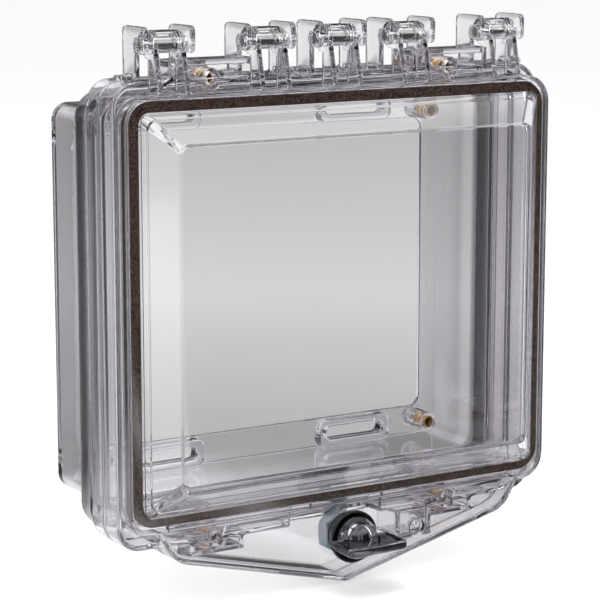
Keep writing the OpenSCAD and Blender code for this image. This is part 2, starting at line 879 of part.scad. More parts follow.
back_box();
device_inserts();
spacer_ring();
hinge_frame();
seal_boss();
frame_inserts();
frame_screws();
screw_washers();
hinge_pin(1);  // hinge_pin_1
hinge_pin(2);  // hinge_pin_2
hinge_pin(3);  // hinge_pin_3
hinge_pin(4);  // hinge_pin_4
hinge_pin(5);  // hinge_pin_5
door_cover();
door_gasket();
lock_collar();
lock_body();
lock_nut();
lock_washer();
thumb_knob();
lock_spindle();
lock_cam();
cam_washer();
cam_screw();
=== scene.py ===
"""Looks of a clear lock box for a thermostat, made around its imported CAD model.

The back box, spacer ring, hinge frame, seal boss and door are clear mouldings with softened edges. The
gasket, the brass inserts, the hinge pins and the cam lock are modelled anew in the places that the CAD model
gives them. Lengths are in metres. +Z is up, and the front faces -Y.
"""

import logging
import math
from collections.abc import Sequence
from dataclasses import dataclass, field, replace
from enum import Enum

import bmesh
import bpy
from bmesh.types import BMEdge, BMesh, BMVert
from mathutils import Matrix, Vector
from mathutils.bvhtree import BVHTree


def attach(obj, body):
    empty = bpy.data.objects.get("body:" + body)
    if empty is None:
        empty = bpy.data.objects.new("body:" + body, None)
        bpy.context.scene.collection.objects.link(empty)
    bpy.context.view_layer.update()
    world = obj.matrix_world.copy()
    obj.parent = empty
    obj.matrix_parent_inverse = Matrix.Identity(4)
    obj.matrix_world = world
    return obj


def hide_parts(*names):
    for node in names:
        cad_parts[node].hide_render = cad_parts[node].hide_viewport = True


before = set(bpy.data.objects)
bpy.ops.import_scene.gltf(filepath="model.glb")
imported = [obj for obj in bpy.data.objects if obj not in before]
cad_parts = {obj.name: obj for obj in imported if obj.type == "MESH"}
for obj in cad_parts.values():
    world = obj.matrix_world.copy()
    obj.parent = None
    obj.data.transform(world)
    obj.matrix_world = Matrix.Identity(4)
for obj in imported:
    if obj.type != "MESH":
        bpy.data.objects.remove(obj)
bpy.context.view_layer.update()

log = logging.getLogger("lock_box")

MM = 0.001
MERGE = 0.001 * MM
FULL_TURN = 2 * math.pi

# Angles between faces, in degrees: two for seeking edges out, and one above which an edge shows
SQUARE_EDGE = 60.0
BLUNT_EDGE = 35.0
FINE_CREASE = 30.0

Colour = tuple[float, float, float, float]
Point = tuple[float, float]
Span = tuple[float, float]

# Cards round the object, light in the sky and painted reflection on the floor: how far round from the left,
# and how bright
CARD_LIGHTS: tuple[Point, ...] = (
    (0.0, 1.0), (0.11, 1.0), (0.145, 0.14), (0.34, 0.18), (0.39, 0.85), (0.44, 0.20), (0.49, 0.20),
    (0.54, 0.95), (0.585, 0.06), (0.845, 0.05), (0.89, 1.0), (1.0, 1.0),
)
CARD_BLUE = 1.04


def mm(*sizes: float) -> tuple[float, ...]:
    """Returns sizes in millimetres as metres."""
    return tuple(size * MM for size in sizes)


def neutral(level: float, green: float = 1.0, blue: float = 1.0) -> Colour:
    """Returns a grey, whose green and blue can be turned up or down."""
    return (level, green * level, blue * level, 1.0)


def zigzag(first: float, second: float, pitch: float, turns: int) -> list[Point]:
    """Returns a thread's outline: two radii in turn, each with its distance along the thread."""
    return [(second if step % 2 else first, 0.5 * (step + 1) * pitch) for step in range(2 * turns)]


class Body(Enum):
    """The bodies that a piece can move with."""

    HOUSING = "housing"
    DOOR = "door"
    THUMB_TURN = "thumb_turn"


class Slot(Enum):
    """The record's material slots."""

    CLEAR = "clear_shell"
    GASKET = "gasket"
    BRASS = "brass_insert"
    STEEL = "steel_hardware"
    ZINC = "zinc_plate"
    BLACK = "black_collar"
    # The knob's chrome, its colour painted dark for the dark surroundings that it reflects
    CHROME = "dark_chrome"


class Axis(Enum):
    """Directions that a turned or rolled piece can lie along."""

    X = (1.0, 0.0, 0.0)
    Y = (0.0, 1.0, 0.0)
    Z = (0.0, 0.0, 1.0)


@dataclass(frozen=True)
class Outline:
    """A rectangle with round corners, seen from the front, and how far up its middle sits."""

    width: float
    height: float
    radius: float
    up: float = 0.0

    def gap(self, place: Vector) -> float:
        """Measures how far a place is from the outline, seen from the front.

        Args:
            place: the place.

        Returns:
            The distance, never below zero.
        """
        beside = abs(place.x) - self.width / 2 + self.radius
        above = abs(place.z - self.up) - self.height / 2 + self.radius
        return abs(math.hypot(max(beside, 0.0), max(above, 0.0)) - self.radius)


@dataclass(frozen=True)
class Grain:
    """How a noise looks: its blotches per metre, roughly, its octaves, and how strong the fine ones are."""

    scale: float
    detail: float = 3.0
    roughness: float = 0.5


@dataclass(frozen=True)
class Signal:
    """A value that runs between nodes, with the operators that shader maths is written in."""

    bench: "Bench"
    socket: bpy.types.NodeSocket

    def __add__(self, other: "Signal | float") -> "Signal":
        """Adds a value."""
        return self.bench.maths("ADD", self, other)

    __radd__ = __add__

    def __sub__(self, other: "Signal | float") -> "Signal":
        """Takes a value away."""
        return self.bench.maths("SUBTRACT", self, other)

    def __rsub__(self, other: "Signal | float") -> "Signal":
        """Takes this value away from another."""
        return self.bench.maths("SUBTRACT", other, self)

    def __mul__(self, other: "Signal | float") -> "Signal":
        """Multiplies by a value."""
        return self.bench.maths("MULTIPLY", self, other)

    __rmul__ = __mul__

    def __truediv__(self, other: "Signal | float") -> "Signal":
        """Divides by a value."""
        return self.bench.maths("DIVIDE", self, other)

    def __rtruediv__(self, other: "Signal | float") -> "Signal":
        """Divides another value by this one."""
        return self.bench.maths("DIVIDE", other, self)

    def __pow__(self, other: "Signal | float") -> "Signal":
        """Raises to a power."""
        return self.bench.maths("POWER", self, other)


class Bench:
    """Puts together the nodes of one material or world."""

    def __init__(self, tree: bpy.types.NodeTree) -> None:
        """Clears the node tree of a material or world."""
        self.tree = tree
        tree.nodes.clear()

    def node(self, kind: str, settings: dict | None = None, inputs: dict | None = None) -> bpy.types.Node:
        """Adds one node.

        Args:
            kind: the node's type, without its common prefix.
            settings: the node's own settings, set first; "stops" holds a ramp's places and colours.
            inputs: values or signals for the node's sockets, by name or by number.

        Returns:
            The new node.
        """
        made = self.tree.nodes.new(f"ShaderNode{kind}")
        for key, value in (settings or {}).items():
            if key != "stops":
                setattr(made, key, value)
                continue
            stops = made.color_ramp.elements
            while len(stops) < len(value):
                stops.new(1.0)
            for stop, (place, colour) in zip(stops, value):
                stop.position, stop.color = place, colour
        for key, value in (inputs or {}).items():
            if isinstance(value, Signal):
                self.tree.links.new(value.socket, made.inputs[key])
            else:
                made.inputs[key].default_value = value
        return made

    def signal(self, node: bpy.types.Node, output: str | int = 0) -> Signal:
        """Returns a node's output as a signal."""
        return Signal(self, node.outputs[output])

    def maths(self, operation: str, first: Signal | float, second: Signal | float = 0.0) -> Signal:
        """Adds a Math node for one operation on one value or two."""
        return self.signal(self.node("Math", {"operation": operation}, {0: first, 1: second}))

    def place(self, stretch: Sequence[float] = (1.0, 1.0, 1.0)) -> Signal:
        """Returns the object's own coordinates, scaled along each axis."""
        there = self.signal(self.node("TexCoord"), "Object")
        return self.signal(self.node("VectorMath", {"operation": "MULTIPLY"}, {0: there, 1: tuple(stretch)}))

    def noise(self, place: Signal, grain: Grain) -> Signal:
        """Returns cloudy noise.

        Args:
            place: the coordinates that it reads.
            grain: how coarse and rough it is.

        Returns:
            A value around a half.
        """
        inputs = {
            "Vector": place, "Scale": grain.scale, "Detail": grain.detail, "Roughness": grain.roughness,
        }
        return self.signal(self.node("TexNoise", inputs=inputs))

    def fade(self, value: Signal, low: float, high: float) -> Signal:
        """Returns 0 below one level and 1 above another, with a smooth step between them."""
        inputs = {"Value": value, "From Min": low, "From Max": high}
        return self.signal(self.node("MapRange", {"interpolation_type": "SMOOTHSTEP"}, inputs))

    def ramp(self, value: Signal, stops: Sequence[tuple[float, Colour]]) -> Signal:
        """Returns the colour that a ramp gives to a value."""
        return self.signal(self.node("ValToRGB", {"stops": stops}, {"Fac": value}))

    def mix(self, share: Signal | float, first: Signal | Colour, second: Signal | Colour) -> Signal:
        """Returns a colour between two colours."""
        return self.signal(self.node("Mix", {"data_type": "RGBA"}, {0: share, 6: first, 7: second}), 2)

    def deepen(self, first: Signal, second: Signal) -> Signal:
        """Returns the product of two colours."""
        settings = {"data_type": "RGBA", "blend_type": "MULTIPLY"}
        return self.signal(self.node("Mix", settings, {0: 1.0, 6: first, 7: second}), 2)

    def seen_straight(self) -> Signal:
        """Returns 1 for what is seen or lit directly, and 0 for what shows in or through a gloss."""
        rays = self.node("LightPath")
        return self.maths("MAXIMUM", self.signal(rays, "Is Camera Ray"), self.signal(rays, "Is Diffuse Ray"))

    def mirrored(self) -> Signal:
        """Returns 1 for what is seen after a reflection, also inside a clear piece, and 0 otherwise."""
        return self.maths("MINIMUM", self.signal(self.node("LightPath"), "Glossy Depth"), 1.0)

    def cards(self, side: Signal) -> Signal:
        """Returns the brightness of cards round the object, from side -1 at its left to 1 at its right: light
        in the sky, painted reflection on the floor.
        """
        stops = [(spot, neutral(level, blue=CARD_BLUE)) for spot, level in CARD_LIGHTS]
        return self.ramp(0.5 + 0.5 * side, stops)

    def bump(self, height: Signal, distance: float) -> Signal:
        """Returns the normal of a surface that a height signal raises by up to a distance."""
        inputs = {"Height": height, "Distance": distance, "Strength": 1.0}
        return self.signal(self.node("Bump", inputs=inputs))

    def principled(self, **inputs: "Signal | float | Colour") -> bpy.types.Node:
        """Adds the surface shader; underscores in names stand for spaces.

        Args:
            **inputs: values or signals for the shader's sockets.

        Returns:
            The material's output node, which the shader is linked to.
        """
        named = {key.replace("_", " "): value for key, value in inputs.items()}
        shader = self.node("BsdfPrincipled", inputs=named)
        return self.node("OutputMaterial", inputs={"Surface": self.signal(shader)})


@dataclass(frozen=True)
class Finish:
    """A surface finish, which makes one material."""

    name: str
    slot: Slot

    def material(self) -> bpy.types.Material:
        """Finds the finish's material, or makes it when it is first asked for.

        Returns:
            The material.
        """
        made = bpy.data.materials.get(self.name)
        if made is None:
            made = bpy.data.materials.new(self.name)
            made.use_nodes = True
            self.dress(Bench(made.node_tree))
        return made

    def dress(self, bench: Bench) -> None:
        """Lays out the material's nodes."""
        raise NotImplementedError


@dataclass(frozen=True)
class PaintedMouldingShade:
    """Painted shade on a moulding's outer sides: dark bands at its rims and seams, at each depth of the box.

    Each stop is a depth in millimetres, from the wall towards the front, and the tone there.
    """

    stops: tuple[Point, ...]
    beyond: float
    # Painted shade farther in than the outer sides
    inner: float = 1.0
    green: float = 0.99
    blur: float = 0.5 * MM
    ramp_scale: float = -10.0

    def lay(self, bench: Bench, tint: Signal) -> Signal:
        """Paints shade into a tint: the tones on the outer sides, and one tone farther in.

        Args:
            bench: the material's bench.
            tint: the plain tint.

        Returns:
            The tint with its painted shade.
        """
        place = bench.node("SeparateXYZ", inputs={0: bench.place()})
        ahead = bench.signal(place, "Y") * self.ramp_scale
        stops = [(self.ramp_scale * y * MM, neutral(level, green=self.green)) for y, level in self.stops]
        outside = bench.maths("ABSOLUTE", bench.signal(place, "X"))
        share = bench.fade(outside, self.beyond - self.blur, self.beyond + self.blur)
        return bench.deepen(tint, bench.mix(share, neutral(self.inner), bench.ramp(ahead, stops)))


@dataclass(frozen=True)
class ClearPlastic(Finish):
    """Clear polycarbonate: greyer where it is deep, with slow waves from its mould and light smears."""

    slot: Slot = Slot.CLEAR
    tint: Colour = (0.93, 0.925, 0.935, 1.0)
    pale: Colour = (0.97, 0.965, 0.97, 1.0)
    depths: Colour = (0.50, 0.465, 0.54, 1.0)
    density: float = 28.0
    waves: Grain = Grain(26.0, 2.0)
    wave_stretch: tuple[float, float, float] = (1.0, 1.0, 0.4)
    wave_depth: float = 0.035 * MM
    smears: Grain = Grain(55.0, 5.0, 0.6)
    smear_haze: float = 0.03
    smear_power: float = 3.0
    bending: float = 1.58
    # Painted shade on the outer sides, if any
    skin: PaintedMouldingShade | None = None

    def dress(self, bench: Bench) -> None:
        """Lays out the tint with any painted shade, the waves and the smears.

        Args:
            bench: the material's bench.
        """
        waves = bench.noise(bench.place(self.wave_stretch), self.waves)
        smears = bench.noise(bench.place(), self.smears)
        tint = bench.mix(waves, self.tint, self.pale)
        output = bench.principled(
            Base_Color=self.skin.lay(bench, tint) if self.skin else tint,
            Roughness=self.smear_haze * smears ** self.smear_power,
            Normal=bench.bump(waves, self.wave_depth),
            IOR=self.bending,
            Transmission_Weight=1.0,
        )
        depth = bench.node("VolumeAbsorption", inputs={"Color": self.depths, "Density": self.density})
        bench.tree.links.new(depth.outputs[0], output.inputs["Volume"])


@dataclass(frozen=True)
class Flecks:
    """Marks over a finish: their colour, how they lie, where they fade in, and how much they cover."""

    colour: Colour
    grain: Grain
    fade: Span
    share: float


@dataclass(frozen=True)
class Mottled(Finish):
    """A surface of two tones, with a noise that also roughens and pits it, and with flecks over it."""

    low: Colour
    high: Colour
    grain: Grain
    fade: Span
    gloss: float
    spread: float
    pits: float
    flecks: Flecks | None = None
    metallic: float = 0.0
    sheen: float = 0.5

    def dress(self, bench: Bench) -> None:
        """Lays out the tones, the flecks and the pits.

        Args:
            bench: the material's bench.
        """
        place = bench.place()
        grain = bench.noise(place, self.grain)
        tint = bench.mix(bench.fade(grain, *self.fade), self.low, self.high)
        if self.flecks:
            marks = bench.fade(bench.noise(place, self.flecks.grain), *self.flecks.fade)
            tint = bench.mix(marks * self.flecks.share, tint, self.flecks.colour)
        bench.principled(
            Base_Color=tint,
            Roughness=self.gloss + self.spread * grain,
            Normal=bench.bump(grain, self.pits),
            Metallic=self.metallic,
            Specular_IOR_Level=self.sheen,
        )


@dataclass(frozen=True)
class Metal(Finish):
    """Worked metal: two tones, a lay of fine tool marks along or round an axis, and dull patches."""

    bright: Colour = (0.62, 0.63, 0.65, 1.0)
    dull: Colour = (0.48, 0.48, 0.50, 1.0)
    lay: Axis = Axis.Y
    marks: Grain = Grain(2600.0, 2.0)
    mark_depth: float = 0.01 * MM
    patches: Grain = Grain(130.0, 4.0, 0.6)
    patch_fade: Span = (0.35, 0.7)
    gloss: float = 0.20
    spread: float = 0.22

    def shade(self, bench: Bench, tint: Signal) -> Signal:
        """Returns the metal's colour with its painted shade; plain metal has none."""
        return tint

    def dress(self, bench: Bench) -> None:
        """Lays out the tones, the tool marks and the dull patches.

        Args:
            bench: the material's bench.
        """
        patches = bench.noise(bench.place(), self.patches)
        marks = bench.noise(bench.place(self.lay.value), self.marks)
        tint = bench.mix(bench.fade(patches, *self.patch_fade), self.bright, self.dull)
        bench.principled(
            Base_Color=self.shade(bench, tint),
            Roughness=self.gloss + self.spread * patches * marks,
            Normal=bench.bump(marks, self.mark_depth),
            Metallic=1.0,
        )


@dataclass(frozen=True)
class BoredMetal(Metal):
    """Metal of four bored pieces at the corners of a rectangle, with painted shade inside the bores."""

    middle: Point = (0.0, 0.0)
    half: Point = (0.0, 0.0)
    bore: float = 2.1 * MM
    rim: Span = mm(0.2, 0.5)
    # Painted shade inside the bores
    painted_bore_shade: Colour = (0.24, 0.13, 0.045, 1.0)

    def shade(self, bench: Bench, tint: Signal) -> Signal:
        """Paints shade on the metal inside the bores, up to their rims.

        Args:
            bench: the material's bench.
            tint: the bare metal's colour.

        Returns:
            The colour with the bores darkened.
        """
        split = bench.node("SeparateXYZ", inputs={0: bench.place()})
        aside = bench.maths("ABSOLUTE", bench.signal(split, "X") - self.middle[0]) - self.half[0]
        above = bench.maths("ABSOLUTE", bench.signal(split, "Z") - self.middle[1]) - self.half[1]
        radius = bench.maths("SQRT", aside * aside + above * above)
        start, end = (self.bore + width for width in self.rim)
        return bench.mix(bench.fade(radius, start, end), self.painted_bore_shade, tint)


@dataclass(frozen=True)
class StudioFloor(Finish):
    """Pale matt floor with the faintest mottle.

    Seen through the clear mouldings it has painted shade in rings, each a share of its reach and a grey.
    Mirrored, it shows painted reflections of cards round the object, and of a brighter patch close by.
    """

    slot: Slot = Slot.CLEAR
    light: Colour = neutral(0.98)
    deep: Colour = (0.96, 0.96, 0.965, 1.0)
    # Painted grey of the patch close by, seen in reflections
    near: Colour = (0.80, 0.80, 0.81, 1.0)
    patch_fade: Span = (0.18, 0.34)
    behind_fade: Span = (-0.15, -0.09)
    patch_ahead: float = 0.25
    reach: float = 8.0
    rings: tuple[Point, ...] = (
        (0.018, 0.95), (0.0245, 0.85), (0.029, 0.48), (0.032, 0.41), (0.04, 0.42), (0.1, 0.64), (0.29, 0.58),
        (0.43, 1.0),
    )
    blots: Grain = Grain(2.5)
    matt: float = 0.9
    spread: float = 0.1

    def dress(self, bench: Bench) -> None:
        """Lays out the mottle, and the painted rings, cards and brighter patch.

        Args:
            bench: the material's bench.
        """
        place = bench.place()
        mottle = bench.noise(place, self.blots)
        away = bench.signal(bench.node("VectorMath", {"operation": "LENGTH"}, {0: place}), "Value")
        rings = bench.ramp(away / self.reach, [(spot, neutral(level)) for spot, level in self.rings])
        split = bench.node("SeparateXYZ", inputs={0: place})
        behind = bench.fade(bench.signal(split, "Y"), *self.behind_fade)
        close = 1.0 - bench.fade(away, *self.patch_fade)
        patch = close * (self.patch_ahead + (1.0 - self.patch_ahead) * behind)
        # Painted reflections of the cards and the patch, and painted shade in rings through the clear
        # mouldings
        cards = bench.mix(patch, bench.cards(bench.signal(split, "X") / away), self.near)
        hidden = bench.mix(bench.mirrored(), rings, cards)
        bench.principled(
            Base_Color=bench.mix(bench.seen_straight(), hidden, bench.mix(mottle, self.light, self.deep)),
            Roughness=self.matt + self.spread * mottle,
            Specular_IOR_Level=0.0,
        )


CLEAR = ClearPlastic("clear_polycarbonate")
# Closed-cell rubber: brown-black, with pale specks and a pitted skin
FOAM = Mottled(
    "gasket_foam", Slot.GASKET, low=(0.010, 0.006, 0.005, 1.0), high=(0.050, 0.027, 0.020, 1.0),
    grain=Grain(450.0, 4.0, 0.6), fade=(0.4, 0.65), gloss=0.70, spread=0.25, pits=0.2 * MM, sheen=0.06,
    flecks=Flecks((0.30, 0.23, 0.19, 1.0), Grain(1700.0, 2.0), (0.58, 0.66), 0.8),
)
# Turned brass, with painted shade inside its bores
BRASS = BoredMetal(
    "turned_brass", Slot.BRASS, bright=(1.0, 0.66, 0.22, 1.0), dull=(0.90, 0.52, 0.14, 1.0), gloss=0.25
)
STEEL = Metal("turned_steel", Slot.STEEL)
PIN_STEEL = Metal(
    "drawn_pin_steel", Slot.STEEL, bright=(0.60, 0.59, 0.57, 1.0), dull=(0.42, 0.41, 0.39, 1.0), lay=Axis.Z,
    marks=Grain(3200.0, 2.0),
)
# Chrome plate, its colour painted dark for the dark surroundings that it reflects
CHROME = Metal(
    "chrome_plate_painted_dark", Slot.CHROME, bright=(0.16, 0.16, 0.17, 1.0), dull=(0.075, 0.075, 0.083, 1.0),
    mark_depth=0.001 * MM, patches=Grain(240.0, 4.0, 0.6), gloss=0.04, spread=0.08,
)
# Bluish plating that clouds over to grey, with yellowish tinges
ZINC = Mottled(
    "blue_zinc_plate", Slot.ZINC, low=(0.34, 0.47, 0.55, 1.0), high=(0.55, 0.57, 0.58, 1.0),
    grain=Grain(160.0, 4.0, 0.6), fade=(0.35, 0.68), gloss=0.2, spread=0.25, pits=0.05 * MM, metallic=1.0,
    flecks=Flecks((0.58, 0.55, 0.42, 1.0), Grain(75.0, 2.0), (0.56, 0.72), 0.6),
)
# Moulded plastic with a soft gloss and worn patches
BLACK = Mottled(
    "black_collar_plastic", Slot.BLACK, low=(0.010, 0.010, 0.011, 1.0), high=(0.030, 0.029, 0.028, 1.0),
    grain=Grain(210.0, 5.0, 0.65), fade=(0.5, 0.75), gloss=0.16, spread=0.24, pits=0.02 * MM,
)
FLOOR = StudioFloor("pale_floor")


class Workpiece:
    """A mesh that is being modelled, from its first shape to the finished piece."""

    STRAY_SHARE = 0.45
    RIM_SEGMENTS = 7
    RIM_DEPTH_SLACK = 0.1 * MM
    RIM_OUTLINE_SLACK = 0.2 * MM

    def __init__(self, name: str) -> None:
        """Starts an empty mesh, for a finished piece of that name."""
        self.name = name
        self.mesh: BMesh = bmesh.new()

    @classmethod
    def copied(cls, name: str, node: str) -> "Workpiece":
        """Starts from a CAD node's mesh, with its loose triangles merged.

        Args:
            name: the finished piece's name.
            node: the CAD node that is copied.

        Returns:
            The new workpiece.
        """
        piece = cls(name)
        piece.mesh.from_mesh(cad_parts[node].data)
        bmesh.ops.remove_doubles(piece.mesh, verts=piece.mesh.verts, dist=MERGE)
        return piece

    def sharp_edges(self, least: float) -> list[BMEdge]:
        """Returns the edges whose faces meet at more than an angle, in degrees."""
        limit = math.radians(least)
        return [edge for edge in self.mesh.edges if edge.is_manifold and edge.calc_face_angle(0.0) > limit]

    def round_edges(self, edges: Sequence[BMEdge], width: float, segments: int) -> None:
        """Rounds some edges, and puts back the few corners that this throws off the shape.

        Args:
            edges: the edges.
            width: how far from the edge the rounding starts.
            segments: strips across the rounding.
        """
        shape = BVHTree.FromBMesh(self.mesh)
        axes = list(zip(*(vert.co for vert in self.mesh.verts)))
        low, high = [min(values) for values in axes], [max(values) for values in axes]
        bmesh.ops.bevel(
            self.mesh, geom=edges, offset=width, offset_type="OFFSET", segments=segments, profile=0.5,
            affect="EDGES", clamp_overlap=False, material=-1, miter_outer="SHARP", miter_inner="SHARP",
        )
        for vert in self.mesh.verts:
            nearest, _, _, gap = shape.find_nearest(vert.co)
            if gap > self.STRAY_SHARE * width:
                vert.co = nearest
            vert.co = [min(max(value, least), most) for value, least, most in zip(vert.co, low, high)]

    def soften(self, width: float, segments: int = 2, least: float = 28.0) -> None:
        """Rounds every edge whose faces meet at more than an angle, in degrees."""
        self.round_edges(self.sharp_edges(least), width, segments)

    def round_rim(self, outline: Outline, y: float, radius: float) -> None:
        """Gives a larger rounding to the edge that runs along an outline.

        Args:
            outline: the outline that the edge follows.
            y: the edge's place along Y.
            radius: the rounding's size.
        """
        rim = [
            edge for edge in self.sharp_edges(SQUARE_EDGE)
            if all(abs(vert.co.y - y) < self.RIM_DEPTH_SLACK for vert in edge.verts)
            and all(outline.gap(vert.co) < self.RIM_OUTLINE_SLACK for vert in edge.verts)
        ]
        self.round_edges(rim, radius, self.RIM_SEGMENTS)

    def draw_in(self, distance: float) -> None:
        """Moves the whole skin inwards.

        Args:
            distance: how far.
        """
        self.mesh.normal_update()
        for vert in self.mesh.verts:
            vert.co -= vert.normal * distance

    def lathe(self, outline: Sequence[Point], centre: Vector, steps: int, closed: bool = True) -> None:
        """Turns an outline about an axis along Y.

        Args:
            outline: radius and Y of each point in turn.
            centre: a point on the axis.
            steps: how many strips make the full turn.
            closed: whether the last point joins the first; an outline that ends on the axis stays open.
        """
        verts = [self.mesh.verts.new((centre.x + radius, y, centre.z)) for radius, y in outline]
        ends = verts[1:] + (verts[:1] if closed else [])
        edges = [self.mesh.edges.new(pair) for pair in zip(verts, ends)]
        bmesh.ops.spin(
            self.mesh, geom=[*verts, *edges], cent=centre, axis=Axis.Y.value, angle=FULL_TURN, steps=steps,
            use_merge=True, use_duplicate=False,
        )
        bmesh.ops.remove_doubles(self.mesh, verts=self.mesh.verts, dist=MERGE)
        bmesh.ops.recalc_face_normals(self.mesh, faces=self.mesh.faces)

    def round_corners(self, corners: Sequence[BMVert], radius: float, steps: int) -> None:
        """Rounds corners of flat faces.

        Args:
            corners: the corners.
            radius: how far from a corner its arc starts.
            steps: strips in each arc.
        """
        bmesh.ops.bevel(
            self.mesh, geom=corners, offset=radius, offset_type="OFFSET", segments=steps, profile=0.5,
            affect="VERTICES", material=-1,
        )

    def rounded_panel(self, outline: Outline, y: float, steps: int) -> None:
        """Lays down one flat face with round corners, facing the front.

        Args:
            outline: its outline.
            y: its place along Y.
            steps: strips in each corner's arc.
        """
        size = Matrix.Diagonal((outline.width / 2, outline.height / 2, 1.0, 1.0))
        place = Matrix.Translation((0.0, y, outline.up)) @ Matrix.Rotation(math.pi / 2, 4, "X") @ size
        bmesh.ops.create_grid(self.mesh, x_segments=1, y_segments=1, size=1.0, matrix=place)
        self.round_corners(list(self.mesh.verts), outline.radius, steps)

    def thicken(self, travel: Vector) -> None:
        """Extrudes the flat faces that are there into a closed block.

        Args:
            travel: how far and which way.
        """
        grown = bmesh.ops.extrude_face_region(self.mesh, geom=list(self.mesh.faces), use_keep_orig=True)
        verts = [item for item in grown["geom"] if isinstance(item, BMVert)]
        bmesh.ops.translate(self.mesh, verts=verts, vec=travel)
        bmesh.ops.recalc_face_normals(self.mesh, faces=self.mesh.faces)

    def repeat(self, steps: Sequence[Vector]) -> None:
        """Adds copies of the whole mesh.

        Args:
            steps: how far each copy is from the mesh.
        """
        geom = [*self.mesh.verts, *self.mesh.edges, *self.mesh.faces]
        for step in steps:
            copy = bmesh.ops.duplicate(self.mesh, geom=geom)
            verts = [item for item in copy["geom"] if isinstance(item, BMVert)]
            bmesh.ops.translate(self.mesh, verts=verts, vec=step)

    def to_object(self, name: str) -> bpy.types.Object:
        """Turns the mesh into an object of the scene.

        Args:
            name: the object's name.

        Returns:
            The object.
        """
        data = bpy.data.meshes.new(name)
        self.mesh.to_mesh(data)
        self.mesh.free()
        made = bpy.data.objects.new(name, data)
        bpy.context.scene.collection.objects.link(made)
        return made

    def weld(self, other: "Workpiece") -> None:
        """Joins another closed shape to this one, so that one skin covers both.

        Args:
            other: the other shape, which is used up.
        """
        blanks = [piece.to_object(f"{piece.name}_blank") for piece in (self, other)]
        union = blanks[0].modifiers.new("weld", "BOOLEAN")
        union.operation, union.solver, union.object = "UNION", "EXACT", blanks[1]
        joined = blanks[0].evaluated_get(bpy.context.evaluated_depsgraph_get())
        self.mesh = bmesh.new()
        self.mesh.from_mesh(joined.to_mesh())
        joined.to_mesh_clear()
        for blank in blanks:
            data = blank.data
            bpy.data.objects.remove(blank)
            bpy.data.meshes.remove(data)

    def finish(self, surface: Finish, body: Body, *nodes: str, smooth: float = 50.0) -> bpy.types.Object:
        """Shades the piece and puts it in the place of its CAD nodes.

        Args:
            surface: the finish that it gets.
            body: the body that it moves with.
            *nodes: the CAD nodes that it stands for.
            smooth: the angle above which an edge shows as a crease, in degrees.

        Returns:
            The finished piece.
        """
        made = self.to_object(self.name)
        for face in made.data.polygons:
            face.use_smooth = True
        made.data.set_sharp_from_angle(angle=math.radians(smooth))
        made.data.materials.append(surface.material())
        shading = made.modifiers.new("even_shading", "WEIGHTED_NORMAL")
        shading.keep_sharp, shading.weight = True, 100
        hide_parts(*nodes)
        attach(made, body.value)
        log.info("%s: %d faces, for %s", made.name, len(made.data.polygons), ", ".join(nodes))
        return made


def build_steel_copies(copies: Sequence[tuple[str, str, float]], body: Body) -> None:
    """Builds steel pieces that are their CAD nodes with softened edges.

    Args:
        copies: each piece's name, its CAD node and the size of its edges' rounding.
        body: the body that they move with.
    """
    for name, node, edge in copies:
        piece = Workpiece.copied(name, node)
        piece.soften(edge)
        piece.finish(STEEL, body, node)


@dataclass(frozen=True)
class ClearMoulding:
    """One clear shell: the CAD node's shape with moulded edges.

    Each rim is an edge along the outline: its place along Y and the size of its rounding. The air is how far
    the skin is drawn in, so that pieces that touch keep a film between them.
    """

    name: str
    node: str
    body: Body = Body.HOUSING
    outline: Outline | None = None
    rims: tuple[Point, ...] = ()
    # Painted shade on the outer sides, if any
    skin: PaintedMouldingShade | None = None
    edge: float = 0.7 * MM
    air: float = 0.02 * MM

    def build(self) -> None:
        """Rounds the shell's rims and edges, and dresses it."""
        piece = Workpiece.copied(self.name, self.node)
        for y, radius in self.rims:
            piece.round_rim(self.outline, y, radius)
        piece.soften(self.edge)
        piece.draw_in(self.air)
        # The material takes the shell's painted shade
        surface = replace(CLEAR, name=f"{self.node}_polycarbonate", skin=self.skin)
        made = piece.finish(surface, self.body, self.node)
        made.visible_diffuse = False


